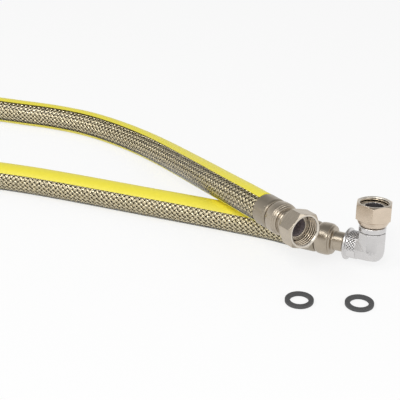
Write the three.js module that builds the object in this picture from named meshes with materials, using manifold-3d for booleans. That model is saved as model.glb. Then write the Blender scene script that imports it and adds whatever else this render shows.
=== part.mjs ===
// Braided gas hose with a straight swivel end and an elbow swivel end, and its two flat gaskets.
// Millimetres, +Z up. All lies on the plane Z = 0, and the origin is under the middle of the fittings.
import * as THREE from 'three';
import { mergeVertices } from 'three/addons/utils/BufferGeometryUtils.js';
import Module from 'manifold-3d';

const wasm = await Module();
wasm.setup();
const { Manifold, Mesh: ManifoldMesh } = wasm;

// Hose
const hoseDiameter = 21;
const jacketWall = 0.8;
const braidWall = 0.6;
const innerTubeWall = 0.6;
const layerGap = 0.3;
const hoseSides = 12;
const hoseSteps = 38;

// Running and seating clearances
const seatGap = 0.3;
const nutBoreGap = 0.5;

// Crimped ferrules, the same at both ends; lengths run outwards from the hose side
const ferruleLength = 13;
const ferruleWall = 1;
const ferruleLip = 1.8;
const ferruleEdge = 0.7;

// Turned tails: shank inside the hose, waist in the ferrule lip, domed collar, neck, sealing flange
const flowBore = 12.4;
const shankWall = 1;
const shankInsideHose = 8;
const waistWall = 1.9;
const waistLength = 1.2;
const collarRadius = 11;
const collarLength = 10.3;
const neckRadius = 6.6;
const neckFillet = 0.6;
const neckStepRadius = 8.2;
const neckStepLength = 1.8;
const flangeRadius = 9;
const flangeThickness = 2.5;
// The collar's dome: [drop below collarRadius, share of collarLength]
const collarDome = [
  [1.5, 0],
  [0.4, 0.08],
  [0, 0.21],
  [0, 0.6],
  [0.5, 0.8],
  [1.4, 1],
];

// Swivel nuts, the same at both ends, for a G1/2 male thread
const nutAcrossFlats = 22.8;
const nutLength = 16.1;
const nutSkirtLength = 4.2;
const nutSkirtRadius = 8.8;
const nutThreadBore = 18.8;
const nutReliefBore = 20.4;
const nutThreadLength = 9.4;
const nutMouthChamfer = 0.8;
const nutRearWall = 4;
const nutEdgeAngle = Math.PI / 6;
const nutEdgeInset = 0.2;
const nutShoulderRadius = 10.8;
// The skirt's outline: [rise above nutSkirtRadius, share of nutSkirtLength]
const nutSkirtCurve = [
  [0, 0],
  [1, 0.2],
  [1.6, 0.5],
];

// Straight end: free neck behind the flange, and how far the nut stands past the sealing face
const straightNeck = 9;
const straightNutReach = 8;
const straightNutTurn = THREE.MathUtils.degToRad(43);

// Elbow end
const elbowNeck = 8.5;
const elbowSocketDepth = 6.5;
const elbowMouthToAxis = 17.8;
const elbowRoll = THREE.MathUtils.degToRad(6.5);
const mouthRingRadius = 10.9;
const mouthRingLength = 2.6;
const mouthRingChamfer = 0.8;
const mouthRingStep = 0.6;
const socketBandRadius = 9.3;
const socketBandLength = 7;
const elbowSides = 8;
const elbowAcrossFlats = 17.6;
const elbowArmHeight = 12.6;
const elbowHeelRadius = 9.7;
const mitreOverlap = 0.02;
const spigotPlugRadius = 7.5;
const spigotPlugDepth = 5.3;
const spigotCollarRadius = 9.1;
const spigotCollarHeight = 3.7;
const spigotNeck = 11.2;
const spigotEdge = 0.4;
const elbowNutTurn = THREE.MathUtils.degToRad(18);

// Flat gaskets, lying in front of the fittings
const gasketOuter = 18.5;
const gasketBore = 12;
const gasketThickness = 2;
const gasketPlaces = { gasket_straight_end: [-17.3, -33.6], gasket_elbow_end: [20.4, -37.3] };

const turnedSides = 32;
const nutSides = 36;
const routeDivisions = 2000;

// How far a cutting solid runs past the face that it cuts
const overcut = 1;

// Finishes: colour, roughness, metalness and, for the cover, opacity
const clearCover = ['#d8cf6a', 0.3, 0, 0.5];
const braidWire = ['#a39a86', 0.35, 1];
const thinTube = ['#b5b3ad', 0.3, 1];
const pressedSteel = ['#9a8f80', 0.35, 1];
const turnedNickel = ['#a89c8a', 0.25, 1];
const nutNickel = ['#a89c8c', 0.3, 1];
const elbowChrome = ['#c3c3c3', 0.2, 1];
const warmNickel = ['#cdb9a5', 0.3, 1];
const blackRubber = ['#3b3b3c', 0.7, 0];

// Centreline of the hose, from the straight end over the elbow end's strand, round the return bend
// on the ground and back to the elbow end. The first and last spans set the fittings' directions.
const hoseRoute = [
  [-37, 21.5, 37.5],
  [-46.5, 36.7, 36.2],
  [-62.3, 66.3, 31.5],
  [-76.8, 96.3, 26],
  [-90.8, 126.3, 20],
  [-106.3, 155.8, 15],
  [-124.8, 183.8, 11.5],
  [-148.3, 207.8, 10.6],
  [-175.3, 227.8, 10.6],
  [-205.8, 242.8, 10.6],
  [-237.3, 253.8, 10.6],
  [-269.3, 265.3, 10.6],
  [-299.8, 279.8, 10.6],
  [-329.8, 294.3, 10.6],
  [-362.8, 302.3, 10.6],
  [-395.8, 298.8, 10.6],
  [-426.3, 284.3, 10.6],
  [-449.8, 260.3, 10.6],
  [-463.8, 229.8, 10.6],
  [-466.3, 196.3, 10.6],
  [-457.3, 163.8, 10.6],
  [-437.8, 136.8, 10.6],
  [-410.3, 117.3, 10.6],
  [-378.3, 108.8, 10.6],
  [-344.8, 111.8, 10.6],
  [-312.8, 122.3, 10.6],
  [-279.8, 130.8, 10.6],
  [-246.3, 129.8, 10.6],
  [-213.8, 120.8, 10.6],
  [-182.3, 109.3, 10.6],
  [-150.8, 96.8, 10.6],
  [-119.8, 84.3, 10.6],
  [-88.3, 71.8, 10.6],
  [-57.3, 59.3, 10.6],
  [-29.6, 47.4, 10.6],
  [-15.62, 39.76, 10.6],
  [-10.4, 36.8, 10.84],
].map((p) => new THREE.Vector3(...p));

// Derived sizes
const jacketOuter = hoseDiameter / 2;
const jacketInner = jacketOuter - jacketWall;
const braidOuter = jacketInner - layerGap;
const braidInner = braidOuter - braidWall;
const innerTubeOuter = braidInner - layerGap;
const innerTubeInner = innerTubeOuter - innerTubeWall;
const bore = flowBore / 2;
const shankRadius = bore + shankWall;
const waistRadius = bore + waistWall;
const ferruleBore = braidOuter + seatGap;
const ferruleRadius = ferruleBore + ferruleWall;
const ferruleLipStart = ferruleLength - ferruleLip;
const collarStart = ferruleLength + waistLength;
const collarEnd = collarStart + collarLength;
const hexCornerRadius = nutAcrossFlats / 2 / Math.cos(Math.PI / 6);
const straightFlangeFace = collarEnd + straightNeck + flangeThickness;
const straightNutRear = straightFlangeFace + straightNutReach - nutLength;
const elbowMouth = collarEnd + elbowNeck;
const elbowAxis = elbowMouth + elbowMouthToAxis;
const spigotSeat = elbowArmHeight + seatGap;
const spigotCollarTop = spigotSeat + spigotCollarHeight;
const spigotFlangeFace = spigotCollarTop + spigotNeck + flangeThickness;
const elbowNutRear = spigotCollarTop + seatGap;

const group = new THREE.Group();

function finish(color, roughness, metalness, opacity = 1) {
  return new THREE.MeshStandardMaterial({ color, roughness, metalness, opacity, transparent: opacity < 1 });
}

function addNode(parent, name, geometry, material) {
  const mesh = new THREE.Mesh(geometry, material);
  mesh.name = name;
  parent.add(mesh);
  return mesh;
}

// A profile of [radius, height] points, in order round the section, turned about +Z
function turned(profile, sides = turnedSides) {
  const points = profile.map(([radius, height]) => new THREE.Vector2(radius, height));
  return new THREE.LatheGeometry(points, sides).rotateX(Math.PI / 2);
}

// A turned ring: an outer outline and an inner one, both from the low end to the high end
function turnedRing(outer, inner, sides = turnedSides) {
  return turned([...outer, ...[...inner].reverse(), outer[0]], sides);
}

// A turned solid whose outline starts and ends on the axis
function turnedSolid(outline, sides = turnedSides) {
  const low = outline[0][1];
  const high = outline[outline.length - 1][1];
  return turned([[0, low], ...outline, [0, high]], sides);
}

// A regular prism along +Z with a corner on +X
function prism(sides, cornerRadius, low, high) {
  const shape = new THREE.Shape();
  for (let i = 0; i < sides; i++) {
    const angle = (2 * Math.PI * i) / sides;
    const x = cornerRadius * Math.cos(angle);
    const y = cornerRadius * Math.sin(angle);
    if (i === 0) shape.moveTo(x, y);
    else shape.lineTo(x, y);
  }
  shape.closePath();
  return new THREE.ExtrudeGeometry(shape, { depth: high - low, bevelEnabled: false }).translate(0, 0, low);
}

function solid(geometry) {
  const bare = geometry.clone();
  bare.deleteAttribute('normal');
  bare.deleteAttribute('uv');
  const merged = mergeVertices(bare, 1e-4);
  return new Manifold(
    new ManifoldMesh({
      numProp: 3,
      vertProperties: new Float32Array(merged.attributes.position.array),
      triVerts: new Uint32Array(merged.index.array),
    }),
  );
}

function geometryOf(manifold) {
  const mesh = manifold.getMesh();
  const geometry = new THREE.BufferGeometry();
  geometry.setAttribute('position', new THREE.BufferAttribute(new Float32Array(mesh.vertProperties), 3));
  geometry.setIndex(new THREE.BufferAttribute(new Uint32Array(mesh.triVerts), 1));
  geometry.computeVertexNormals();
  return geometry;
}

// The hose's centreline, with one straight span tucked into the ferrule at each end when asked for.
// All layers share the same stations, so that they stay evenly spaced.
class HosePath extends THREE.Curve {
  constructor(tuck) {
    super();
    this.core = new THREE.CatmullRomCurve3(hoseRoute, false, 'centripetal');
    this.core.arcLengthDivisions = routeDivisions;
    this.tuck = tuck;
    this.spans = hoseSteps + (tuck > 0 ? 2 : 0);
  }

  // Share of the route, which runs below 0 and above 1 in the tucked spans
  share(u) {
    const step = u * this.spans - (this.tuck > 0 ? 1 : 0);
    return step / hoseSteps;
  }

  getPointAt(u) {
    const t = this.share(u);
    const inside = THREE.MathUtils.clamp(t, 0, 1);
    const past = (t - inside) * hoseSteps * this.tuck;
    return this.core.getPointAt(inside).addScaledVector(this.getTangentAt(u), past);
  }

  getTangentAt(u) {
    const last = hoseRoute.length - 1;
    const t = this.share(u);
    if (t < 1e-6) return hoseRoute[1].clone().sub(hoseRoute[0]).normalize();
    if (t > 1 - 1e-6) return hoseRoute[last].clone().sub(hoseRoute[last - 1]).normalize();
    return this.core.getTangentAt(t);
  }
}

function hoseLayer(outerRadius, innerRadius, tuck) {
  const section = new THREE.Shape();
  const hole = new THREE.Path();
  for (let i = 0; i <= hoseSides; i++) {
    const angle = (2 * Math.PI * i) / hoseSides;
    const c = Math.cos(angle);
    const s = Math.sin(angle);
    if (i === 0) {
      section.moveTo(outerRadius, 0);
      hole.moveTo(innerRadius, 0);
    } else {
      section.lineTo(outerRadius * c, outerRadius * s);
      hole.lineTo(innerRadius * c, innerRadius * s);
    }
  }
  section.holes.push(hole);
  const path = new HosePath(tuck);
  return new THREE.ExtrudeGeometry(section, { steps: path.spans, extrudePath: path, bevelEnabled: false });
}

// A frame at one end of the hose: +Z runs out of the hose, +Y as near upright as it can be
function endFrame(tip, behind) {
  const out = tip.clone().sub(behind).normalize();
  const side = new THREE.Vector3(0, 0, 1).cross(out).normalize();
  const up = out.clone().cross(side);
  const frame = new THREE.Group();
  frame.position.copy(tip);
  frame.quaternion.setFromRotationMatrix(new THREE.Matrix4().makeBasis(side, up, out));
  return frame;
}

function ferruleGeometry() {
  return turnedRing(
    [
      [ferruleBore, 0],
      [ferruleRadius - ferruleEdge / 2, 0],
      [ferruleRadius, ferruleEdge],
      [ferruleRadius, ferruleLipStart],
      [ferruleRadius - ferruleEdge, ferruleLength],
    ],
    [
      [ferruleBore, ferruleLipStart],
      [waistRadius + seatGap, ferruleLipStart],
      [waistRadius + seatGap, ferruleLength],
    ],
  );
}

// The part of a tail that both ends share: the shank, the waist and the domed collar
function tailOutline() {
  return [
    [bore, -shankInsideHose],
    [shankRadius - shankWall / 2, -shankInsideHose],
    [shankRadius, shankWall - shankInsideHose],
    [shankRadius, ferruleLipStart - seatGap],
    [waistRadius, ferruleLipStart],
    [waistRadius, collarStart],
    ...collarDome.map(([drop, share]) => [collarRadius - drop, collarStart + share * collarLength]),
  ];
}

function straightTailGeometry() {
  const flangeBack = straightFlangeFace - flangeThickness;
  return turnedRing(
    [
      ...tailOutline(),
      [neckStepRadius, collarEnd],
      [neckStepRadius, collarEnd + neckStepLength],
      [neckRadius, collarEnd + neckStepLength + neckStepRadius - neckRadius],
      [neckRadius, flangeBack],
      [flangeRadius, flangeBack],
      [flangeRadius, straightFlangeFace],
    ],
    [[bore, straightFlangeFace]],
  );
}

function elbowTailGeometry() {
  const tip = elbowMouth + elbowSocketDepth - seatGap;
  return turnedRing(
    [
      ...tailOutline(),
      [neckRadius + neckFillet, collarEnd],
      [neckRadius, collarEnd + neckFillet],
      [neckRadius, tip],
    ],
    [[bore, tip]],
  );
}

function spigotGeometry() {
  const flangeBack = spigotFlangeFace - flangeThickness;
  const plugEnd = spigotSeat - spigotPlugDepth;
  return turnedRing(
    [
      [bore, plugEnd],
      [spigotPlugRadius - spigotEdge, plugEnd],
      [spigotPlugRadius, plugEnd + spigotEdge],
      [spigotPlugRadius, spigotSeat],
      [spigotCollarRadius, spigotSeat],
      [spigotCollarRadius, spigotCollarTop - spigotEdge],
      [spigotCollarRadius - spigotEdge, spigotCollarTop],
      [neckRadius, spigotCollarTop],
      [neckRadius, flangeBack],
      [flangeRadius, flangeBack],
      [flangeRadius, spigotFlangeFace],
    ],
    [[bore, spigotFlangeFace]],
  );
}

// Hexagon with both edges turned off at 30 degrees, on a curved skirt, bored for the thread,
// with a relief for the flange and a rear wall that the flange pulls against
function nutGeometry() {
  const edgeRadius = nutAcrossFlats / 2 - nutEdgeInset;
  const edgeHeight = (hexCornerRadius - edgeRadius) * Math.tan(nutEdgeAngle);
  const shoulderHeight = (hexCornerRadius - nutShoulderRadius) * Math.tan(nutEdgeAngle);
  const hexagon = solid(prism(6, hexCornerRadius, 0, nutLength));
  const outline = solid(
    turnedSolid(
      [
        ...nutSkirtCurve.map(([rise, share]) => [nutSkirtRadius + rise, share * nutSkirtLength]),
        [nutShoulderRadius, nutSkirtLength],
        [hexCornerRadius, nutSkirtLength + shoulderHeight],
        [hexCornerRadius, nutLength - edgeHeight],
        [edgeRadius, nutLength],
      ],
      nutSides,
    ),
  );
  const threadStart = nutLength - nutThreadLength;
  const mouthRadius = nutThreadBore / 2 + nutMouthChamfer;
  const hollow = solid(
    turnedSolid(
      [
        [neckRadius + nutBoreGap, -overcut],
        [neckRadius + nutBoreGap, nutRearWall],
        [nutReliefBore / 2, nutRearWall],
        [nutReliefBore / 2, threadStart],
        [nutThreadBore / 2, threadStart],
        [nutThreadBore / 2, nutLength - nutMouthChamfer],
        [mouthRadius, nutLength],
        [mouthRadius, nutLength + overcut],
      ],
      nutSides,
    ),
  );
  return geometryOf(hexagon.intersect(outline).subtract(hollow));
}

// Forged elbow in the hose end's frame: the socket faces back down -Z and the arm rises along +Y.
// Two eight-sided arms meet in a mitre, the heel is rounded to a ball, and two blind bores meet.
function elbowGeometry() {
  const corner = elbowAcrossFlats / 2 / Math.cos(Math.PI / elbowSides);
  const span = elbowMouthToAxis + elbowArmHeight;
  const turnUp = new THREE.Matrix4().makeRotationX(-Math.PI / 2);
  const hoseArm = prism(elbowSides, corner, -elbowMouthToAxis + mouthRingLength, span);
  const upArm = prism(elbowSides, corner, -span, elbowArmHeight).applyMatrix4(turnUp);

  // Each arm keeps its own side of the mitre plane, and reaches a hair past it into the other
  const halfSpace = (offset, turn) => {
    const block = new THREE.BoxGeometry(4 * span, 4 * span, 4 * span);
    return solid(block.translate(0, 0, offset).rotateX(turn));
  };
  const socketSide = halfSpace(mitreOverlap - 2 * span, -Math.PI / 4);
  const armSide = halfSpace(2 * span - mitreOverlap, -Math.PI / 4);
  const socketArm = solid(hoseArm).intersect(socketSide);
  const raisedArm = solid(upArm).intersect(armSide);

  const socketBand = turnedSolid([
    [mouthRingRadius - mouthRingChamfer, -elbowMouthToAxis],
    [mouthRingRadius, -elbowMouthToAxis + mouthRingChamfer],
    [mouthRingRadius, -elbowMouthToAxis + mouthRingLength],
    [socketBandRadius, -elbowMouthToAxis + mouthRingLength + mouthRingStep],
    [socketBandRadius, -elbowMouthToAxis + mouthRingLength + socketBandLength],
  ]);

  // The ball shapes only what lies both past the arm's axis and under the hose's
  const heel = solid(new THREE.SphereGeometry(elbowHeelRadius, turnedSides, turnedSides / 2))
    .add(halfSpace(-2 * span, 0))
    .add(halfSpace(-2 * span, Math.PI / 2));

  const socketEnd = -elbowMouthToAxis + elbowSocketDepth;
  const socketBore = turnedSolid([
    [neckRadius + seatGap, -elbowMouthToAxis - overcut],
    [neckRadius + seatGap, socketEnd],
    [bore, socketEnd],
    [bore, bore],
  ]);
  const plugEnd = spigotSeat - spigotPlugDepth - seatGap;
  const armBore = turnedSolid([
    [bore, -bore],
    [bore, plugEnd],
    [spigotPlugRadius + seatGap, plugEnd],
    [spigotPlugRadius + seatGap, elbowArmHeight + overcut],
  ]).applyMatrix4(turnUp);

  const body = socketArm.add(raisedArm).add(solid(socketBand)).intersect(heel);
  const passage = solid(socketBore).add(solid(armBore));
  return geometryOf(body.subtract(passage)).translate(0, 0, elbowAxis);
}

function gasketGeometry() {
  return turnedRing(
    [
      [gasketBore / 2, 0],
      [gasketOuter / 2, 0],
      [gasketOuter / 2, gasketThickness],
    ],
    [[gasketBore / 2, gasketThickness]],
  );
}

function buildHose() {
  const tuck = ferruleLipStart - seatGap;
  addNode(group, 'hose_jacket', hoseLayer(jacketOuter, jacketInner, 0), finish(...clearCover));
  addNode(group, 'wire_braid', hoseLayer(braidOuter, braidInner, tuck), finish(...braidWire));
  addNode(group, 'inner_tube', hoseLayer(innerTubeOuter, innerTubeInner, tuck), finish(...thinTube));
}

function buildStraightEnd() {
  const end = endFrame(hoseRoute[0], hoseRoute[1]);
  group.add(end);
  addNode(end, 'straight_ferrule', ferruleGeometry(), finish(...pressedSteel));
  addNode(end, 'straight_tail', straightTailGeometry(), finish(...turnedNickel));
  const nut = addNode(end, 'straight_nut', nutGeometry(), finish(...nutNickel));
  nut.position.z = straightNutRear;
  nut.rotation.z = straightNutTurn;
}

function buildElbowEnd() {
  const last = hoseRoute.length - 1;
  const end = endFrame(hoseRoute[last], hoseRoute[last - 1]);
  group.add(end);
  addNode(end, 'elbow_ferrule', ferruleGeometry(), finish(...pressedSteel));
  addNode(end, 'elbow_tail', elbowTailGeometry(), finish(...turnedNickel));

  const rolled = new THREE.Group();
  rolled.rotation.z = -elbowRoll;
  end.add(rolled);
  addNode(rolled, 'elbow_body', elbowGeometry(), finish(...elbowChrome));

  const arm = new THREE.Group();
  arm.position.z = elbowAxis;
  arm.rotation.x = -Math.PI / 2;
  rolled.add(arm);
  addNode(arm, 'elbow_spigot', spigotGeometry(), finish(...elbowChrome));
  const nut = addNode(arm, 'elbow_nut', nutGeometry(), finish(...warmNickel));
  nut.position.z = elbowNutRear;
  nut.rotation.z = elbowNutTurn;
}

function buildGaskets() {
  for (const [name, [x, y]] of Object.entries(gasketPlaces)) {
    const gasket = addNode(group, name, gasketGeometry(), finish(...blackRubber));
    gasket.position.set(x, y, 0);
  }
}

buildHose();
buildStraightEnd();
buildElbowEnd();
buildGaskets();

export default group;
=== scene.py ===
import math

import bpy
import numpy as np
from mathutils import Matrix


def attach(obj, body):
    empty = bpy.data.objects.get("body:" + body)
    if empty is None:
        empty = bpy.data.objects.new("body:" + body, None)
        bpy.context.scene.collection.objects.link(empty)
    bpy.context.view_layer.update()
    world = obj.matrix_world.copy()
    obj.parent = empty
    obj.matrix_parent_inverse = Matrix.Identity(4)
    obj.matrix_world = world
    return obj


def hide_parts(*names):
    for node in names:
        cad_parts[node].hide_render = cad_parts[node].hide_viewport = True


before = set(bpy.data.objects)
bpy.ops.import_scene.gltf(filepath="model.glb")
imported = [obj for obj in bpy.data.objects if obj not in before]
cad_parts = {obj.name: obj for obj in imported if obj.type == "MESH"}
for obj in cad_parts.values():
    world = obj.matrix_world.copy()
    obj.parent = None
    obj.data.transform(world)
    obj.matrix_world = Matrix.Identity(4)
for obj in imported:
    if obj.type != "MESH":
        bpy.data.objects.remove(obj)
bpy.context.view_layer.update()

bl_info = {
    "name": "Gas Hose Finish",
    "version": (1, 0, 0),
    "blender": (4, 5, 0),
    "location": "View3D > Sidebar > Gas Hose",
    "description": "Builds the finished surfaces of a braided gas hose with swivel ends and gaskets",
    "category": "Add Mesh",
}

MM = 0.001

# Centreline of the hose in millimetres, from the straight end's ferrule to the elbow end's ferrule
HOSE_ROUTE = np.array([
    [-37, 21.5, 37.5], [-46.5, 36.7, 36.2], [-62.3, 66.3, 31.5], [-76.8, 96.3, 26],
    [-90.8, 126.3, 20], [-106.3, 155.8, 15], [-124.8, 183.8, 11.5], [-148.3, 207.8, 10.6],
    [-175.3, 227.8, 10.6], [-205.8, 242.8, 10.6], [-237.3, 253.8, 10.6], [-269.3, 265.3, 10.6],
    [-299.8, 279.8, 10.6], [-329.8, 294.3, 10.6], [-362.8, 302.3, 10.6], [-395.8, 298.8, 10.6],
    [-426.3, 284.3, 10.6], [-449.8, 260.3, 10.6], [-463.8, 229.8, 10.6], [-466.3, 196.3, 10.6],
    [-457.3, 163.8, 10.6], [-437.8, 136.8, 10.6], [-410.3, 117.3, 10.6], [-378.3, 108.8, 10.6],
    [-344.8, 111.8, 10.6], [-312.8, 122.3, 10.6], [-279.8, 130.8, 10.6], [-246.3, 129.8, 10.6],
    [-213.8, 120.8, 10.6], [-182.3, 109.3, 10.6], [-150.8, 96.8, 10.6], [-119.8, 84.3, 10.6],
    [-88.3, 71.8, 10.6], [-57.3, 59.3, 10.6], [-29.6, 47.4, 10.6], [-15.62, 39.76, 10.6],
    [-10.4, 36.8, 10.84],
]) * MM

# How far the cover's stripe is rolled from upright, in degrees, at distances along the hose in metres
COVER_ROLL_AT = (0.0, 0.1, 0.2, 0.27, 0.33, 1.05, 1.15)
COVER_ROLL = (-15, -17, -22, -22, -19, -8, -11)
COVER_STEPS = 460

# How far the hose's line, and the braid and tube on it, run on into the ferrules, in metres
LINE_TUCK = 0.012
BRAID_TUCK = 0.009

# Columns round each kind of surface, and rows along the long or finely cut ones
COVER_COLUMNS = 48
TUBE_COLUMNS = 20
TUBE_LINING_ROWS = 300
FERRULE_COLUMNS = 192
TURNED_COLUMNS = 96
SOCKET_COLUMNS = 252
SOCKET_BAND_ROWS = 40
THREAD_ROWS = 76

# Stations of the fittings along their own axes, in millimetres from the rear of the ferrule
FERRULE_LENGTH = 13.0
FERRULE_RADIUS = 10.7
FERRULE_LIP_START = 11.2
WAIST_RADIUS = 8.1
SHANK_RADIUS = 7.2
SHANK_TIP = -8.0
COLLAR_START = 14.2
COLLAR_END = 24.5
COLLAR_RADIUS = 11.0
NECK_RADIUS = 6.6
NECK_STEP_RADIUS = 8.2
NECK_STEP_LENGTH = 1.8
FLOW_RADIUS = 6.2
FLANGE_RADIUS = 9.0
FLANGE_THICKNESS = 2.5
STRAIGHT_FLANGE_FACE = 36.0
STRAIGHT_NUT_REAR = 27.9
STRAIGHT_NUT_TURN = 43.0
ELBOW_MOUTH = 33.0
ELBOW_MOUTH_TO_AXIS = 17.8
ELBOW_SOCKET_DEPTH = 6.5
ELBOW_SOCKET_RADIUS = 6.9
ELBOW_ROLL = 6.5
ELBOW_ARM_HEIGHT = 12.6
ELBOW_HEEL_RADIUS = 9.7
ELBOW_FLATS = 17.6
MOUTH_RING_RADIUS = 10.9
MOUTH_RING_LENGTH = 2.6
SOCKET_BAND_RADIUS = 9.3
SOCKET_BAND_LENGTH = 7.0
SPIGOT_SEAT = 12.9
SPIGOT_SEAT_RADIUS = 7.8
SPIGOT_COLLAR_TOP = 16.6
SPIGOT_COLLAR_RADIUS = 9.1
SPIGOT_FLANGE_FACE = 30.3
SPIGOT_PLUG_RADIUS = 7.5
SPIGOT_PLUG_END = 7.6
ELBOW_NUT_REAR = 16.9
ELBOW_NUT_TURN = 18.0
NUT_LENGTH = 16.1
NUT_SKIRT = 4.2
NUT_SHOULDER = 10.8
NUT_MINOR = 9.4
NUT_MOUTH = 10.2
NUT_RELIEF = 10.2
NUT_PASSAGE = 7.1
NUT_REAR_WALL = 4.0
NUT_CORNER_FILLET = 0.4
THREAD_DEPTH = 0.95
THREAD_LENGTH = 9.4

# Round punch marks on the ferrules: the angle round the hose in degrees, and the height in millimetres
PUNCH_MARKS = {
    "straight_ferrule": [(137, 10.7), (153, 10.9), (172, 10.5)],
    "elbow_ferrule": [(100, 10.2)],
}

# Middles of the gaskets on the floor, in millimetres
GASKET_PLACES = {"gasket_straight_end": (-17.3, -33.6), "gasket_elbow_end": (20.4, -37.3)}

# Noise patterns, in waves per metre
HANDLING_WAVES = 160.0
BORE_STAIN_WAVES = 400.0
COVER_WAVES = 420.0
RUBBER_GRAIN_WAVES = 1800.0
DUST_WAVES = 260.0

# A turned surface's rings change this many times on one way round
RING_CHANGES = 6.0


def linear(hex_colour):
    """An sRGB hex colour as linear red, green and blue."""
    srgb = np.array([int(hex_colour[i:i + 2], 16) for i in (1, 3, 5)]) / 255
    return tuple(np.where(srgb <= 0.04045, srgb / 12.92, ((srgb + 0.055) / 1.055) ** 2.4))


def unit(vectors):
    """Vectors scaled to length one, along the last axis."""
    return vectors / np.linalg.norm(vectors, axis=-1, keepdims=True)


def grid_shell(points, column_values=None, row_values=None, close_rows=True, slot_of_row=None):
    """A surface on a grid of points, rows by columns. The columns close on themselves, and the rows
    too when close_rows is set. A face's corners take u from column_values and v from row_values,
    which are in millimetres along the surface where none are given. Faces are turned outwards:
    where six times the enclosed volume, the sum of a . (b x c) over the triangles, comes out
    negative, every face is reversed."""
    rows, columns = points.shape[:2]
    if column_values is None:
        column_values = np.arange(columns + 1) / columns
    if row_values is None:
        steps = np.linalg.norm(np.diff(points[:, 0], axis=0), axis=-1) / MM
        row_values = np.concatenate([[0], np.cumsum(steps)])
    i, j = np.meshgrid(np.arange(rows if close_rows else rows - 1), np.arange(columns), indexing="ij")
    row = np.stack([i, i, i + 1, i + 1], axis=-1).reshape(-1, 4)
    column = np.stack([j, j + 1, j + 1, j], axis=-1).reshape(-1, 4)
    corners = (row % rows) * columns + column % columns
    uv = np.stack([column_values[column], row_values[row % rows]], axis=-1)
    flat = points.reshape(-1, 3)
    centred = flat - flat.mean(axis=0)
    a, b, c, d = (centred[corners[:, k]] for k in range(4))
    volume = (a * np.cross(b, c)).sum() + (a * np.cross(c, d)).sum()
    if volume < 0:
        corners, uv = corners[:, ::-1], uv[:, ::-1]
    slots = np.zeros(len(corners), int) if slot_of_row is None else slot_of_row[row[:, 0] % rows]
    return flat, corners, uv, slots


def mesh_piece(name, shells, materials, weighted=True):
    """One object at the origin from several shells, with their UV map and material slots."""
    offsets = np.cumsum([0] + [len(shell[0]) for shell in shells[:-1]])
    points = np.concatenate([shell[0] for shell in shells])
    corners = np.concatenate([shell[1] + offset for shell, offset in zip(shells, offsets)])
    uv = np.concatenate([shell[2] for shell in shells])
    slots = np.concatenate([shell[3] for shell in shells])
    mesh = bpy.data.meshes.new(name)
    mesh.vertices.add(len(points))
    mesh.vertices.foreach_set("co", points.astype(np.float32).ravel())
    mesh.loops.add(corners.size)
    mesh.loops.foreach_set("vertex_index", corners.astype(np.int32).ravel())
    mesh.polygons.add(len(corners))
    mesh.polygons.foreach_set("loop_start", np.arange(0, corners.size, 4, dtype=np.int32))
    mesh.polygons.foreach_set("material_index", slots.astype(np.int32))
    mesh.polygons.foreach_set("use_smooth", np.ones(len(corners), bool))
    mesh.uv_layers.new(name="Surface").data.foreach_set("uv", uv.astype(np.float32).ravel())
    mesh.update(calc_edges=True)
    for material in materials:
        mesh.materials.append(material)
    piece = bpy.data.objects.new(name, mesh)
    bpy.context.scene.collection.objects.link(piece)
    if weighted:
        finish = piece.modifiers.new("Flat faces stay flat", "WEIGHTED_NORMAL")
        finish.weight = 50
        finish.keep_sharp = True
    return piece


def rounded(outline, radius, steps=4):
    """A closed outline with each corner turned into a quadratic curve: (1-t)^2 A + 2t(1-t) P + t^2 B,
    where P is the corner and A and B lie on its two sides, at most 0.4 of a side away from it."""
    outline = np.asarray(outline, float)
    before = np.roll(outline, 1, axis=0) - outline
    after = np.roll(outline, -1, axis=0) - outline
    cut_a = np.minimum(radius, 0.4 * np.linalg.norm(before, axis=1))[:, None]
    cut_b = np.minimum(radius, 0.4 * np.linalg.norm(after, axis=1))[:, None]
    a = (outline + unit(before) * cut_a)[:, None]
    b = (outline + unit(after) * cut_b)[:, None]
    t = np.linspace(0, 1, steps)[None, :, None]
    curve = (1 - t) ** 2 * a + 2 * t * (1 - t) * outline[:, None] + t**2 * b
    return curve.reshape(-1, 2)


class Placing:
    """A right-handed frame in the part: local x, y and z axes and an origin in millimetres."""

    def __init__(self, origin, x, y, z):
        self.origin = np.asarray(origin, float)
        self.axes = np.array([x, y, z], float)

    def place(self, local):
        """Local points in millimetres as points of the part in metres."""
        return (self.origin + local @ self.axes) * MM

    def turned(self, degrees, along):
        """The frame turned about its own z axis and moved along it."""
        c, s = math.cos(math.radians(degrees)), math.sin(math.radians(degrees))
        x, y, z = self.axes
        return Placing(self.origin + along * z, c * x + s * y, c * y - s * x, z)

    def raised(self):
        """The frame of an arm that rises along local y."""
        x, y, z = self.axes
        return Placing(self.origin, x, -z, y)


def end_placing(tip, behind):
    """The frame at one end of the hose: z runs out of the hose, y is as near upright as it can be."""
    z = unit(tip - behind)
    x = unit(np.cross([0, 0, 1], z))
    return Placing(tip / MM, x, np.cross(z, x), z)


def turned_rows(profile, angles):
    """Local points of a turned surface: (r cos a, r sin a, h) for each [r, h] and each angle a."""
    profile = np.asarray(profile, float)
    radius, height = profile[:, :1], profile[:, 1:]
    return np.stack([radius * np.cos(angles), radius * np.sin(angles), height + 0 * angles], axis=-1)


def full_turn(count):
    """Evenly spaced angles, the last one short of a whole turn."""
    return np.arange(count) * (2 * np.pi / count)


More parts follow.
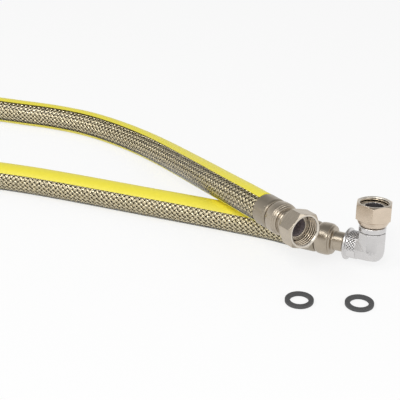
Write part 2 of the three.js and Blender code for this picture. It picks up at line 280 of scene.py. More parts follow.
def polygon_outline(sides, across_flats, fillet, along_flat, in_corner=3):
    """Angles and radii round a regular polygon with a corner at angle 0 and rounded corners. Each
    flat runs between tangent points, and each corner is an arc of the fillet's radius."""
    half = math.pi / sides
    apothem = across_flats / 2
    centre = (apothem - fillet) / math.cos(half)
    arc = np.linspace(-half, half, in_corner + 2)
    corner = np.stack([centre + fillet * np.cos(arc), fillet * np.sin(arc)], axis=1)
    turn = np.array([[math.cos(2 * half), math.sin(2 * half)], [-math.sin(2 * half), math.cos(2 * half)]])
    start, end = corner[-1], corner[0] @ turn
    share = np.linspace(0, 1, along_flat + 2)[1:-1, None]
    sector = np.concatenate([corner, start + (end - start) * share])
    turns = 2 * half * np.arange(sides)[:, None]
    angle = np.arctan2(sector[:, 1], sector[:, 0])[None] + turns
    radius = np.hypot(sector[:, 0], sector[:, 1])[None] + 0 * turns
    return angle.ravel(), radius.ravel()


def route_curve(points, samples=60):
    """A centripetal Catmull-Rom curve through the points: on each span a cubic whose end slopes come
    from the neighbouring points, weighted by the square root of their distances."""
    padded = np.concatenate([[2 * points[0] - points[1]], points, [2 * points[-1] - points[-2]]])
    p0, p1, p2, p3 = padded[:-3], padded[1:-2], padded[2:-1], padded[3:]
    d0, d1, d2 = (np.linalg.norm(v, axis=1, keepdims=True) ** 0.5 for v in (p1 - p0, p2 - p1, p3 - p2))
    slope1 = ((p1 - p0) / d0 - (p2 - p0) / (d0 + d1) + (p2 - p1) / d1) * d1
    slope2 = ((p2 - p1) / d1 - (p3 - p1) / (d1 + d2) + (p3 - p2) / d2) * d1
    t = np.linspace(0, 1, samples, endpoint=False)[None, :, None]
    square = -3 * p1 + 3 * p2 - 2 * slope1 - slope2
    cube = 2 * p1 - 2 * p2 + slope1 + slope2
    c = [v[:, None] for v in (p1, slope1, square, cube)]
    curve = c[0] + c[1] * t + c[2] * t**2 + c[3] * t**3
    return np.concatenate([curve.reshape(-1, 3), points[-1:]])


class HoseLine:
    """The hose's centreline by arc length, with an upright frame that never rolls. Past its ends it
    runs on straight, into the ferrules."""

    def __init__(self, route, tuck):
        line = route_curve(route)
        first = unit(route[0] - route[1])
        last = unit(route[-1] - route[-2])
        self.length = float(np.linalg.norm(np.diff(line, axis=0), axis=1).sum())
        line = np.concatenate([[line[0] + tuck * first], line, [line[-1] + tuck * last]])
        steps = np.linalg.norm(np.diff(line, axis=0), axis=1)
        self.at = np.concatenate([[0], np.cumsum(steps)]) - tuck
        self.line = line
        middle = unit(np.diff(line, axis=0))
        tangent = unit(np.concatenate([middle[:1], middle[:-1] + middle[1:], middle[-1:]]))
        self.side = unit(np.cross([0, 0, 1], tangent))
        self.up = np.cross(tangent, self.side)

    def sample(self, table, s):
        """A table of vectors along the line, read at arc lengths s by linear interpolation."""
        return np.stack([np.interp(s, self.at, table[:, k]) for k in range(3)], axis=-1)

    def place(self, s, angle, radius):
        """centre(s) + radius (up cos angle + side sin angle), for arrays of any one shape."""
        up, side = unit(self.sample(self.up, s)), unit(self.sample(self.side, s))
        out = up * np.cos(angle)[..., None] + side * np.sin(angle)[..., None]
        return self.sample(self.line, s) + out * np.asarray(radius)[..., None]


HOSE = HoseLine(HOSE_ROUTE, LINE_TUCK)
STRAIGHT_END = end_placing(HOSE_ROUTE[0], HOSE_ROUTE[1])
ELBOW_END = end_placing(HOSE_ROUTE[-1], HOSE_ROUTE[-2])


def add_node(tree, kind, sockets=(), links=(), **settings):
    """Adds a node, sets its properties and unlinked sockets, and links the named outputs into it."""
    node = tree.nodes.new(kind)
    for name, value in settings.items():
        setattr(node, name, value)
    for name, value in dict(sockets).items():
        node.inputs[name].default_value = value
    for name, source in dict(links).items():
        tree.links.new(source, node.inputs[name])
    return node


def new_material(name):
    """An empty node material and its output node."""
    material = bpy.data.materials.new(name)
    material.use_nodes = True
    material.node_tree.nodes.clear()
    return material, material.node_tree, material.node_tree.nodes.new("ShaderNodeOutputMaterial")


def rgba(colour, share=1.0):
    """A linear colour with alpha 1, made lighter or darker by share and at most white."""
    return (*(min(1.0, float(channel) * share) for channel in colour[:3]), 1.0)


def surface_place(tree):
    """The surface's own u and v, as two sockets."""
    surface = add_node(tree, "ShaderNodeUVMap", uv_map="Surface")
    split = add_node(tree, "ShaderNodeSeparateXYZ", links={"Vector": surface.outputs["UV"]})
    return split.outputs["X"], split.outputs["Y"]


def metal_finish(name, colour, roughness, grain_mm, grain_depth_mm, blotch=0.12):
    """A plated or bare metal whose surface was turned or pressed. Fine rings run round it, from
    noise on the surface's own v in millimetres. Slow noise makes the tone and the polish uneven,
    as handling and plating do."""
    material, tree, output = new_material(name)
    surface = add_node(tree, "ShaderNodeUVMap", uv_map="Surface")
    rings = add_node(
        tree, "ShaderNodeMapping", {"Scale": (RING_CHANGES, 1.0 / grain_mm, 1.0)},
        {"Vector": surface.outputs["UV"]},
    )
    grain = add_node(
        tree, "ShaderNodeTexNoise", {"Scale": 1.0, "Detail": 3.0, "Roughness": 0.6},
        {"Vector": rings.outputs["Vector"]},
    )
    place = add_node(tree, "ShaderNodeTexCoord")
    cloud = add_node(
        tree, "ShaderNodeTexNoise", {"Scale": HANDLING_WAVES, "Detail": 3.0},
        {"Vector": place.outputs["Object"]},
    )
    tone = add_node(
        tree, "ShaderNodeMix", {6: rgba(colour, 1 - blotch), 7: rgba(colour, 1 + blotch)},
        {0: cloud.outputs["Fac"]}, data_type="RGBA",
    )
    polish = add_node(
        tree, "ShaderNodeMapRange",
        {"From Min": 0.3, "From Max": 0.7, "To Min": roughness * 0.8, "To Max": roughness * 1.25},
        {"Value": grain.outputs["Fac"]},
    )
    bump = add_node(
        tree, "ShaderNodeBump", {"Strength": 0.6, "Distance": grain_depth_mm * MM},
        {"Height": grain.outputs["Fac"]},
    )
    shader = add_node(
        tree, "ShaderNodeBsdfPrincipled", {"Metallic": 1.0},
        {
            "Base Color": tone.outputs[2], "Roughness": polish.outputs["Result"],
            "Normal": bump.outputs["Normal"],
        },
    )
    tree.links.new(shader.outputs["BSDF"], output.inputs["Surface"])
    return material


def cut_thread(settings):
    """A thread cut in plated brass. With u the turn and v the height, the groove's share is the
    triangle wave of v / pitch - u: a painted highlight on the crests, and painted shade down in the grooves."""
    material, tree, output = new_material("cut_thread_in_plated_brass")
    u, v = surface_place(tree)
    pitches = add_node(tree, "ShaderNodeMath", {1: settings.thread_pitch / MM}, {0: v}, operation="DIVIDE")
    turn = add_node(tree, "ShaderNodeMath", links={0: pitches.outputs[0], 1: u}, operation="SUBTRACT")
    wave = add_node(tree, "ShaderNodeMath", {1: 0.5}, {0: turn.outputs[0]}, operation="PINGPONG")
    tone = add_node(
        tree, "ShaderNodeMapRange", {"From Min": 0.14, "From Max": 0.34}, {"Value": wave.outputs[0]}
    )
    # Painted highlight on the crests at 2.2 times the thread's colour, painted shade in the grooves at 0.04
    # times
    colour = add_node(
        tree, "ShaderNodeMix", {6: rgba(settings.thread_colour, 2.2), 7: rgba(settings.thread_colour, 0.04)},
        {0: tone.outputs["Result"]}, data_type="RGBA",
    )
    shader = add_node(
        tree, "ShaderNodeBsdfPrincipled", {"Metallic": 1.0, "Roughness": 0.3},
        {"Base Color": colour.outputs[2]},
    )
    tree.links.new(shader.outputs["BSDF"], output.inputs["Surface"])
    return material


def knurled_chrome(settings):
    """Chrome over a pressed diamond knurl. Its tone follows the knurl's own height,
    |sin(pi (n u + v / p))| |sin(pi (n u - v / p))|, with n the number of ridges round the band and p their
    pitch: painted shade down in the grooves, and a little painted light on the crests. Underneath, where
    sin(2 pi u) is below 0, the painted shade stops and the band is plain and light."""
    material, tree, output = new_material("knurled_chrome_plated_brass")
    u, v = surface_place(tree)
    count = round(2 * math.pi * SOCKET_BAND_RADIUS / (settings.knurl_pitch / MM))
    round_band = add_node(tree, "ShaderNodeMath", {1: count * math.pi}, {0: u}, operation="MULTIPLY")
    steep = math.pi * MM / settings.knurl_pitch
    along = add_node(tree, "ShaderNodeMath", {1: steep}, {0: v}, operation="MULTIPLY")
    ridges = []
    for operation in ("ADD", "SUBTRACT"):
        phase = add_node(
            tree, "ShaderNodeMath", links={0: round_band.outputs[0], 1: along.outputs[0]}, operation=operation
        )
        wave = add_node(tree, "ShaderNodeMath", links={0: phase.outputs[0]}, operation="SINE")
        ridges.append(add_node(tree, "ShaderNodeMath", links={0: wave.outputs[0]}, operation="ABSOLUTE"))
    height = add_node(
        tree, "ShaderNodeMath", links={0: ridges[0].outputs[0], 1: ridges[1].outputs[0]}, operation="MULTIPLY"
    )
    whole_turn = add_node(tree, "ShaderNodeMath", {1: 2 * math.pi}, {0: u}, operation="MULTIPLY")
    rise = add_node(tree, "ShaderNodeMath", links={0: whole_turn.outputs[0]}, operation="SINE")
    plain = add_node(
        tree, "ShaderNodeMapRange", {"From Min": 0.0, "From Max": -0.35}, {"Value": rise.outputs[0]}
    )
    filled = add_node(
        tree, "ShaderNodeMath", links={0: height.outputs[0], 1: plain.outputs[0]}, operation="ADD"
    )
    tone = add_node(
        tree, "ShaderNodeMapRange", {"From Min": 0.05, "From Max": 0.6}, {"Value": filled.outputs[0]}
    )
    # Painted shade in the grooves, down to an eighth of the chrome's tone; painted light on the crests, a
    # tenth above it
    colour = add_node(
        tree, "ShaderNodeMix", {6: rgba(settings.elbow_colour, 0.12), 7: rgba(settings.elbow_colour, 1.1)},
        {0: tone.outputs["Result"]}, data_type="RGBA",
    )
    shader = add_node(
        tree, "ShaderNodeBsdfPrincipled", {"Metallic": 1.0, "Roughness": 0.38},
        {"Base Color": colour.outputs[2]},
    )
    tree.links.new(shader.outputs["BSDF"], output.inputs["Surface"])
    return material


def sealing_face(settings):
    """Brass faced off across the end and plated: lighter than the turned sides, and duller."""
    return metal_finish(
        "turned_sealing_face", settings.face_colour, roughness=0.4, grain_mm=0.4, grain_depth_mm=0.01
    )


def dull_bore(share):
    """Unplated bore, drilled and dulled: rough, so little light comes back out. It takes a share of
    its full tone; a low share is painted shade, for a bore deep and dark inside a part."""
    material, tree, output = new_material("unplated_dull_bore")
    place = add_node(tree, "ShaderNodeTexCoord")
    cloud = add_node(
        tree, "ShaderNodeTexNoise", {"Scale": BORE_STAIN_WAVES, "Detail": 2.0},
        {"Vector": place.outputs["Object"]},
    )
    tone = add_node(
        tree, "ShaderNodeMix", {6: rgba(linear("#aea4a6"), share), 7: rgba(linear("#d6ccce"), share)},
        {0: cloud.outputs["Fac"]}, data_type="RGBA",
    )
    shader = add_node(
        tree, "ShaderNodeBsdfPrincipled", {"Metallic": 0.5, "Roughness": 0.5}, {"Base Color": tone.outputs[2]}
    )
    tree.links.new(shader.outputs["BSDF"], output.inputs["Surface"])
    return material


def clear_cover_lining(settings):
    """The cover's inner face: clear vinyl all round, because the stripes lie in its outer half."""
    material, tree, output = new_material("clear_pvc_lining")
    window = add_node(tree, "ShaderNodeBsdfTransparent", {"Color": rgba(settings.clear_colour)})
    tree.links.new(window.outputs["BSDF"], output.inputs["Surface"])
    return material


def striped_clear_cover(settings):
    """Plasticised PVC, extruded clear and slightly yellow, with two pigmented stripes run in on
    opposite sides. The clear part lets the braid show and only mirrors a little at its surface. The
    stripe is opaque and semi-gloss. u is 0 and 0.5 at the stripes' middles, so the angle from the
    nearest one is 180 |fract(2u + 0.5) - 0.5| degrees."""
    material, tree, output = new_material("clear_pvc_with_yellow_stripes")
    u, _ = surface_place(tree)
    doubled = add_node(tree, "ShaderNodeMath", {1: 2.0, 2: 0.5}, {0: u}, operation="MULTIPLY_ADD")
    share = add_node(tree, "ShaderNodeMath", links={0: doubled.outputs[0]}, operation="FRACT")
    shifted = add_node(tree, "ShaderNodeMath", {1: 0.5}, {0: share.outputs[0]}, operation="SUBTRACT")
    apart = add_node(tree, "ShaderNodeMath", links={0: shifted.outputs[0]}, operation="ABSOLUTE")
    edge = math.degrees(settings.stripe_angle) / 360
    stripe = add_node(
        tree, "ShaderNodeMapRange",
        {"From Min": edge - 0.004, "From Max": edge + 0.004, "To Min": 1.0, "To Max": 0.0},
        {"Value": apart.outputs[0]},
    )
    place = add_node(tree, "ShaderNodeTexCoord")
    waves = add_node(
        tree, "ShaderNodeTexNoise", {"Scale": COVER_WAVES, "Detail": 2.0}, {"Vector": place.outputs["Object"]}
    )
    bump = add_node(
        tree, "ShaderNodeBump", {"Strength": 0.4, "Distance": 0.00012}, {"Height": waves.outputs["Fac"]}
    )
    tone = add_node(
        tree, "ShaderNodeMix",
        {6: rgba(settings.stripe_colour, 0.93), 7: rgba(settings.stripe_colour, 1.04)},
        {0: waves.outputs["Fac"]}, data_type="RGBA",
    )
    pigment = add_node(
        tree, "ShaderNodeBsdfPrincipled", {"Roughness": 0.42, "IOR": 1.45},
        {"Base Color": tone.outputs[2], "Normal": bump.outputs["Normal"]},
    )
    window = add_node(tree, "ShaderNodeBsdfTransparent", {"Color": rgba(settings.clear_colour)})
    gloss = add_node(
        tree, "ShaderNodeBsdfAnisotropic", {"Color": (1, 1, 1, 1), "Roughness": 0.3},
        {"Normal": bump.outputs["Normal"]},
    )
    mirrored = add_node(tree, "ShaderNodeFresnel", {"IOR": 1.3}, {"Normal": bump.outputs["Normal"]})
    clear = add_node(
        tree, "ShaderNodeMixShader",
        links={0: mirrored.outputs["Fac"], 1: window.outputs["BSDF"], 2: gloss.outputs["BSDF"]},
    )
    both = add_node(
        tree, "ShaderNodeMixShader",
        links={0: stripe.outputs["Result"], 1: clear.outputs["Shader"], 2: pigment.outputs["BSDF"]},
    )
    tree.links.new(both.outputs["Shader"], output.inputs["Surface"])
    return material


def braid_wire(settings):
    """Bright drawn stainless wire, laid side by side in flat bundles, four wires across so that
    they show. u runs across a bundle and v is its lift in the weave, from 0 under the other hand to
    1 over it. Its tone is a ramp over 0.65 v + 0.35 sin(pi u): painted shade where it dives under, and a
    painted highlight on the crown of each float."""
    material, tree, output = new_material("bright_stainless_wire")
    u, v = surface_place(tree)
    across = add_node(tree, "ShaderNodeMath", {1: 4 * 2 * math.pi}, {0: u}, operation="MULTIPLY")
    wires = add_node(tree, "ShaderNodeMath", links={0: across.outputs[0]}, operation="COSINE")
    half_turn = add_node(tree, "ShaderNodeMath", {1: math.pi}, {0: u}, operation="MULTIPLY")
    crown = add_node(tree, "ShaderNodeMath", links={0: half_turn.outputs[0]}, operation="SINE")
    crown_part = add_node(tree, "ShaderNodeMath", {1: 0.35}, {0: crown.outputs[0]}, operation="MULTIPLY")
    share = add_node(
        tree, "ShaderNodeMath", {1: 0.65}, {0: v, 2: crown_part.outputs[0]},
        operation="MULTIPLY_ADD",
    )
    ramp = add_node(tree, "ShaderNodeValToRGB", links={"Fac": share.outputs[0]})
    # Painted shade where a bundle dives under, a painted highlight on the crown of each float
    shaded, bright = ramp.color_ramp.elements
    shaded.position, shaded.color = 0.15, rgba(settings.wire_colour, 0.42)
    bright.position, bright.color = 0.9, rgba(settings.crown_highlight_colour)
    ramp.color_ramp.elements.new(0.55).color = rgba(settings.wire_colour)
    bump = add_node(
        tree, "ShaderNodeBump", {"Strength": 0.6, "Distance": 0.00009}, {"Height": wires.outputs[0]},
        invert=True,
    )
    shader = add_node(
        tree, "ShaderNodeBsdfPrincipled", {"Metallic": 1.0, "Roughness": 0.2},
        {"Base Color": ramp.outputs["Color"], "Normal": bump.outputs["Normal"]},
    )
    tree.links.new(shader.outputs["BSDF"], output.inputs["Surface"])
    return material


def black_gasket_rubber(settings):
    """Moulded nitrile rubber, dark grey and matt, with a fine even grain and a little dust."""
    material, tree, output = new_material("black_nitrile_rubber")
    place = add_node(tree, "ShaderNodeTexCoord")
    grain = add_node(
        tree, "ShaderNodeTexNoise", {"Scale": RUBBER_GRAIN_WAVES, "Detail": 2.0},
        {"Vector": place.outputs["Object"]},
    )
    dust = add_node(
        tree, "ShaderNodeTexNoise", {"Scale": DUST_WAVES, "Detail": 3.0}, {"Vector": place.outputs["Object"]}
    )
    tone = add_node(
        tree, "ShaderNodeMix", {6: rgba(settings.colour, 0.8), 7: rgba(settings.colour, 1.25)},
        {0: dust.outputs["Fac"]}, data_type="RGBA",
    )
    bump = add_node(
        tree, "ShaderNodeBump", {"Strength": 0.5, "Distance": 0.00008}, {"Height": grain.outputs["Fac"]}
    )
    shader = add_node(
        tree, "ShaderNodeBsdfPrincipled", {"Roughness": 0.62, "IOR": 1.5},
        {"Base Color": tone.outputs[2], "Normal": bump.outputs["Normal"]},
    )
    tree.links.new(shader.outputs["BSDF"], output.inputs["Surface"])
    return material


def seen_share(tree):
    """The socket that is 1 for rays of the camera, of mirrors and of clear plastic, and else 0."""
    path = add_node(tree, "ShaderNodeLightPath")
    seen = add_node(
        tree, "ShaderNodeMath", links={0: path.outputs["Is Camera Ray"], 1: path.outputs["Is Glossy Ray"]},
        operation="MAXIMUM",
    )
    shown = add_node(
        tree, "ShaderNodeMath", links={0: seen.outputs[0], 1: path.outputs["Is Transmission Ray"]},
        operation="MAXIMUM",
    )
    return shown.outputs[0]


def backdrop_white(name, settings):
    """Pale floor that reads as plain white to the eye and in what metal and plastic mirror, and is
    an ordinary matt white to the lamps. A part of the matt white stays in what is seen, so that the
    object's shadow shows softly."""
    material, tree, output = new_material(name)
    level = add_node(
        tree, "ShaderNodeMath", {1: settings.backdrop_share}, {0: seen_share(tree)}, operation="MULTIPLY"
    )
    matt = add_node(tree, "ShaderNodeBsdfDiffuse", {"Color": rgba(settings.floor_colour)})
    white = add_node(tree, "ShaderNodeEmission", {"Color": (1, 1, 1, 1), "Strength": 1.0})
    both = add_node(
        tree, "ShaderNodeMixShader",
        links={0: level.outputs[0], 1: matt.outputs["BSDF"], 2: white.outputs["Emission"]},
    )
    tree.links.new(both.outputs["Shader"], output.inputs["Surface"])
    return material


def colour_setting(name, description, hex_colour):
    """A colour in the settings, from its sRGB hex value."""
    return bpy.props.FloatVectorProperty(
        name=name, description=description, default=linear(hex_colour), subtype="COLOR"
    )


def length_setting(name, description, metres):
    """A length in the settings."""
    return bpy.props.FloatProperty(name=name, description=description, default=metres, unit="LENGTH")


class HoseSettings(bpy.types.PropertyGroup):
    """Sizes and colours of the hose itself."""

    diameter: length_setting("Outer diameter", "Diameter over the clear cover", 0.021)
    cover_wall: length_setting("Cover wall", "Thickness of the clear cover", 0.0008)
    stripe_angle: bpy.props.FloatProperty(
        name="Stripe width", description="Angle that each yellow stripe takes of the round",
        default=math.radians(79), subtype="ANGLE",
    )
    stripe_colour: colour_setting("Stripe", "Colour of the two stripes", "#eee144")
    clear_colour: colour_setting("Clear cover", "Tint of the clear cover", "#fcfaf3")
    wire_colour: colour_setting("Wire", "Colour of the braid's wire", "#efe8d8")
    # Painted highlight: the crowns of the floats take this colour in place of light
    crown_highlight_colour: colour_setting("Wire crowns", "Painted highlight on the crown of each float", "#fffbf2")
    tube_colour: colour_setting("Inner tube", "Colour of the corrugated tube", "#948d7f")
    carriers: bpy.props.IntProperty(
        name="Bundles each way", description="Wire bundles that wind each way round the hose", default=16
    )
    cell_length: length_setting("Cell length", "Length of one diamond of the braid", 0.004)
    bundle_width: length_setting("Bundle width", "Width of one flat bundle of wires", 0.0021)
    corrugation: length_setting("Corrugation", "Pitch of the inner tube's waves", 0.004)


class FittingSettings(bpy.types.PropertyGroup):
    """Sizes and colours of the metal fittings."""

    ferrule_colour: colour_setting("Ferrules", "Colour of the pressed steel", "#a39989")
    tail_colour: colour_setting("Tails", "Colour of the turned tails", "#b4a999")
    straight_nut_colour: colour_setting("Straight nut", "Colour of the straight end's nut", "#bdb2a2")
    elbow_nut_colour: colour_setting("Elbow nut", "Colour of the elbow end's nut", "#d8c8b5")
    thread_colour: colour_setting("Threads", "Colour inside the nuts", "#a39888")
    face_colour: colour_setting("Turned faces", "Colour of the rims and sealing faces", "#d9d1c5")
    elbow_colour: colour_setting("Elbow", "Colour of the chromed elbow", "#d4d2d1")
    nut_flats: length_setting("Across flats", "Width of the nuts across their flats", 0.0228)
    thread_pitch: length_setting("Thread pitch", "Pitch of the G1/2 thread", 0.001814)
    knurl_pitch: length_setting("Knurl pitch", "Width of one diamond of the knurl", 0.0021)


class GasketSettings(bpy.types.PropertyGroup):
    """Sizes and colour of the flat gaskets."""

    outer: length_setting("Outer diameter", "Outer diameter of a gasket", 0.0185)
    bore: length_setting("Bore", "Hole through a gasket", 0.012)
    thickness: length_setting("Thickness", "Thickness of a gasket", 0.002)
    colour: colour_setting("Rubber", "Colour of the rubber", "#4c4c4d")


class StageSettings(bpy.types.PropertyGroup):
    """Light, floor and camera."""

    key_power: bpy.props.FloatProperty(
        name="Key lamp", description="Power of the soft lamp in front, in watts", default=4.2
    )
    side_power: bpy.props.FloatProperty(
        name="Side lamp", description="Power of the soft lamp on the left, in watts", default=6.0
    )
    fill_power: bpy.props.FloatProperty(
        name="Fill lamp", description="Power of the soft lamp on the right, in watts", default=3.2
    )
    sky_level: bpy.props.FloatProperty(
        name="Sky", description="Strength of the even light from all round", default=0.54
    )
    ceiling_level: bpy.props.FloatProperty(
        name="Ceiling", description="How light the room straight above is in what metal mirrors", default=0.3
    )
    backdrop_share: bpy.props.FloatProperty(
        name="White share", description="How much of the floor's look is plain white", default=0.8,
        subtype="FACTOR",
    )
    floor_colour: colour_setting("Floor", "Colour of the matt floor", "#f4f4f4")
    camera_place: bpy.props.FloatVectorProperty(
        name="Camera", description="Place of the camera", default=(-0.0803, -0.60875, 0.368),
        subtype="TRANSLATION",
    )
    camera_pitch: bpy.props.FloatProperty(
        name="Pitch", description="How far the camera looks down", default=math.radians(27.2), subtype="ANGLE"
    )
    focal_length: bpy.props.FloatProperty(
        name="Focal length", description="Lens of the camera in millimetres", default=96.3
    )


def add_lamp(name, place, target, size, power):
    """A square soft lamp that faces a point."""
    lamp = bpy.data.lights.new(name, "AREA")
    lamp.shape = "SQUARE"
    lamp.size = size
    lamp.energy = power
    holder = bpy.data.objects.new(name, lamp)
    direction = unit(np.array(place, float) - np.array(target, float))
    yaw = math.atan2(direction[0], -direction[1])
    pitch = math.acos(direction[2])
    holder.location = place
    holder.rotation_euler = (pitch, 0, yaw)
    bpy.context.scene.collection.objects.link(holder)


class GASHOSE_OT_stage(bpy.types.Operator):
    """Camera, lamps, even sky and the plain pale floor"""

    bl_idname = "gashose.stage"
    bl_label = "Stage"

    def execute(self, context):
        settings = context.scene.gashose_stage
        lens = bpy.data.cameras.new("Camera")
        lens.lens = settings.focal_length
        lens.sensor_width = 36
        lens.clip_end = 50
        camera = bpy.data.objects.new("Camera", lens)
        camera.location = settings.camera_place
        camera.rotation_euler = (math.radians(90) - settings.camera_pitch, 0, 0)
        context.scene.collection.objects.link(camera)
        context.scene.camera = camera
        context.scene.view_settings.view_transform = "Standard"

        world = bpy.data.worlds.new("Even studio sky")
        context.scene.world = world
        world.use_nodes = True
        tree = world.node_tree
        tree.nodes.clear()
        place = add_node(tree, "ShaderNodeTexCoord")
        heading = add_node(tree, "ShaderNodeSeparateXYZ", links={"Vector": place.outputs["Generated"]})
        mirrored = add_node(
            tree, "ShaderNodeMapRange",
            {"From Min": 0.05, "From Max": 0.75, "To Min": 1.0, "To Max": settings.ceiling_level},
            {"Value": heading.outputs["Z"]},
        )
        level = add_node(
            tree, "ShaderNodeMix", {2: settings.sky_level},
            {0: seen_share(tree), 3: mirrored.outputs["Result"]},
        )
        sky = add_node(tree, "ShaderNodeBackground", {"Color": (1, 1, 1, 1)}, {"Strength": level.outputs[0]})
        output = add_node(tree, "ShaderNodeOutputWorld", links={"Surface": sky.outputs["Background"]})
        output.is_active_output = True

        # Three soft lamps that face the middle of the part
        middle = (-0.05, 0.05, 0.02)
        add_lamp("Key lamp", (-0.3, -0.78, 0.86), middle, 0.36, settings.key_power)
        add_lamp("Side lamp", (-1.1, -0.35, 1.35), middle, 0.7, settings.side_power)
        add_lamp("Fill lamp", (0.85, -0.7, 0.75), middle, 0.9, settings.fill_power)

        mesh = bpy.data.meshes.new("Floor")
        reach = 6.0
        corners = [(-reach, -reach), (reach, -reach), (reach, reach), (-reach, reach)]
        mesh.from_pydata([(x, y, -0.2 * MM) for x, y in corners], [], [(0, 1, 2, 3)])
        mesh.materials.append(backdrop_white("matt_white_floor", settings))
        floor = bpy.data.objects.new("Floor", mesh)
        context.scene.collection.objects.link(floor)
        return {"FINISHED"}


def cover_shell(settings):
    """The clear cover: the tube map of the hose at two radii. Its columns start at the middle of one
    stripe, whose roll from upright changes along the hose, which lies with a slight twist."""
    outer = settings.diameter / 2
    inner = outer - settings.cover_wall
    s = np.linspace(0, HOSE.length, COVER_STEPS)
    roll = np.radians(np.interp(s, COVER_ROLL_AT, COVER_ROLL))
    columns = full_turn(COVER_COLUMNS)
    angle = columns[None] + roll[:, None]
    grid_s = s[:, None] + 0 * angle
    skin = HOSE.place(grid_s, angle, outer + 0 * angle)
    lining = HOSE.place(grid_s, angle, inner + 0 * angle)[::-1]
    return grid_shell(
        np.concatenate([skin, lining]), row_values=np.concatenate([s, s[::-1]]) / MM,
        slot_of_row=np.repeat([0, 1], len(s)),
    )


def braid_shell(settings, hand):
    """One hand's wire bundles. Bundle k winds as angle = 2 pi k / n + hand 2 pi s / lead, and its
    radius follows a cosine with a period of two crossings, so that it goes over one bundle of the
    other hand and under the next. A bundle's section is low and flat-topped, with two bevelled sides,
    and its two ends close to a point. Its UV map keeps the lift as v."""
    count = settings.carriers
    lead = count * settings.cell_length
    middle_radius = 0.0091
    rise = 0.00036
    crown = 0.00022
    rows_per_cell = 4.5
    step = settings.cell_length / rows_per_cell
    s = np.arange(-BRAID_TUCK, HOSE.length + BRAID_TUCK, step)
    k = np.arange(count)[:, None]
    crossing = 2 * count * s[None] / lead
    lift = hand * np.cos(math.pi * crossing) * np.ones(k.shape)
    lean = math.atan(2 * math.pi * middle_radius / lead)
    width = settings.bundle_width * np.where((s <= s[0]) | (s >= s[-1]), 0.1, 1.0)
    across = np.array([-0.5, -0.22, 0.22, 0.5])[None, None] * width[None, :, None]
    along = s[None, :, None] - hand * across * math.sin(lean)
    wind = 2 * math.pi * (k / count + hand * s[None] / lead)
    angle = wind[..., None] + across * math.cos(lean) / middle_radius
    bulge = np.array([0.0, 1.0, 1.0, 0.0])[None, None] * crown
    radius = middle_radius + (rise * lift)[..., None] + bulge
    points = HOSE.place(along + 0 * radius, angle + 0 * radius, radius)
    values = np.array([0.0, 0.28, 0.72, 1.0, 2.0])
    height = 0.5 + 0.5 * lift
    return [grid_shell(bundle, values, share, close_rows=False) for bundle, share in zip(points, height)]


def corrugated_shell(settings):
    """The thin inner tube: radius = middle + wave cos(2 pi s / pitch). Its plain lining comes back
    along the same line with wider steps."""
    middle, wave_height, lining_radius = 0.00815, 0.00033, 0.0075
    s = np.arange(-BRAID_TUCK, HOSE.length + BRAID_TUCK, settings.corrugation / 5)
    columns = full_turn(TUBE_COLUMNS)
    angle = columns[None] + 0 * s[:, None]
    grid_s = s[:, None] + 0 * angle
    radius = middle + wave_height * np.cos(2 * math.pi * grid_s / settings.corrugation)
    skin = HOSE.place(grid_s, angle, radius)
    back = np.linspace(s[-1], s[0], TUBE_LINING_ROWS)
    back_s = back[:, None] + 0 * columns[None]
    lining = HOSE.place(back_s, columns[None] + 0 * back_s, lining_radius + 0 * back_s)
    return grid_shell(np.concatenate([skin, lining]), row_values=np.concatenate([s, back]) / MM)


class GASHOSE_OT_hose(bpy.types.Operator):
    """Clear striped cover, woven wire braid and corrugated inner tube along the hose's line"""

    bl_idname = "gashose.hose"
    bl_label = "Hose"

    def execute(self, context):
        settings = context.scene.gashose_hose
        finishes = [striped_clear_cover(settings), clear_cover_lining(settings)]
        cover = mesh_piece("hose_cover", [cover_shell(settings)], finishes, weighted=False)
        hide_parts("hose_jacket")

        wire = braid_wire(settings)
        right = mesh_piece("braid_right_hand", braid_shell(settings, 1), [wire], weighted=False)
        left = mesh_piece("braid_left_hand", braid_shell(settings, -1), [wire], weighted=False)
        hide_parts("wire_braid")

        # Bright annealed steel, glimpsed as the darker ground between the wires
        steel = metal_finish(
            "bright_annealed_steel_tube", settings.tube_colour, roughness=0.35, grain_mm=0.8,
            grain_depth_mm=0.02,
        )
        tube = mesh_piece("corrugated_tube", [corrugated_shell(settings)], [steel], weighted=False)
        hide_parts("inner_tube")

        for piece in (cover, right, left, tube):
            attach(piece, "hose")
        return {"FINISHED"}


def ferrule_shell(placing, marks):
    """A pressed sleeve turned about the hose's axis. Its wall has shallow flats where the press
    closed on it, (1/2 - 1/2 cos(12 a))^0.6 deep round the middle, and small round punch marks: each
    lowers the wall by depth e^(-d^2 / size^2)."""
    press_flats, press_depth = 12, 0.09
    mark_depth, mark_size = 0.32, 0.5
    outline = [
        (9.65, 0.0), (10.35, 0.0), (FERRULE_RADIUS, 0.7), (FERRULE_RADIUS, FERRULE_LIP_START),
        (10.45, 12.5), (9.9, FERRULE_LENGTH), (WAIST_RADIUS + 0.3, FERRULE_LENGTH),
        (WAIST_RADIUS + 0.3, FERRULE_LIP_START), (9.65, FERRULE_LIP_START),
    ]
    profile = rounded(outline, 0.5, 5)
    wall = np.linspace(1.4, 10.6, 34)
    split = int(np.argmax((profile[:, 0] > 10.6) & (profile[:, 1] > 2)))
    added = np.stack([0 * wall + FERRULE_RADIUS, wall], 1)
    profile = np.concatenate([profile[:split], added, profile[split:]])
    angles = full_turn(FERRULE_COLUMNS)
    rows = turned_rows(profile, angles)
    height = profile[:, 1:]
    on_wall = np.clip((profile[:, :1] - 10.2) / 0.4, 0, 1)
    belt = np.exp(-(((height - 6.0) / 4.2) ** 4))
    dent = press_depth * belt * (0.5 - 0.5 * np.cos(press_flats * angles[None])) ** 0.6
    for mark_angle, mark_height in marks:
        around = FERRULE_RADIUS * np.angle(np.exp(1j * (angles[None] - math.radians(mark_angle))))
        distance = around**2 + (height - mark_height) ** 2
        dent = dent + mark_depth * np.exp(-distance / mark_size**2)
    shrink = 1 - on_wall * dent / FERRULE_RADIUS
    rows[..., :2] *= shrink[..., None]
    return grid_shell(placing.place(rows))


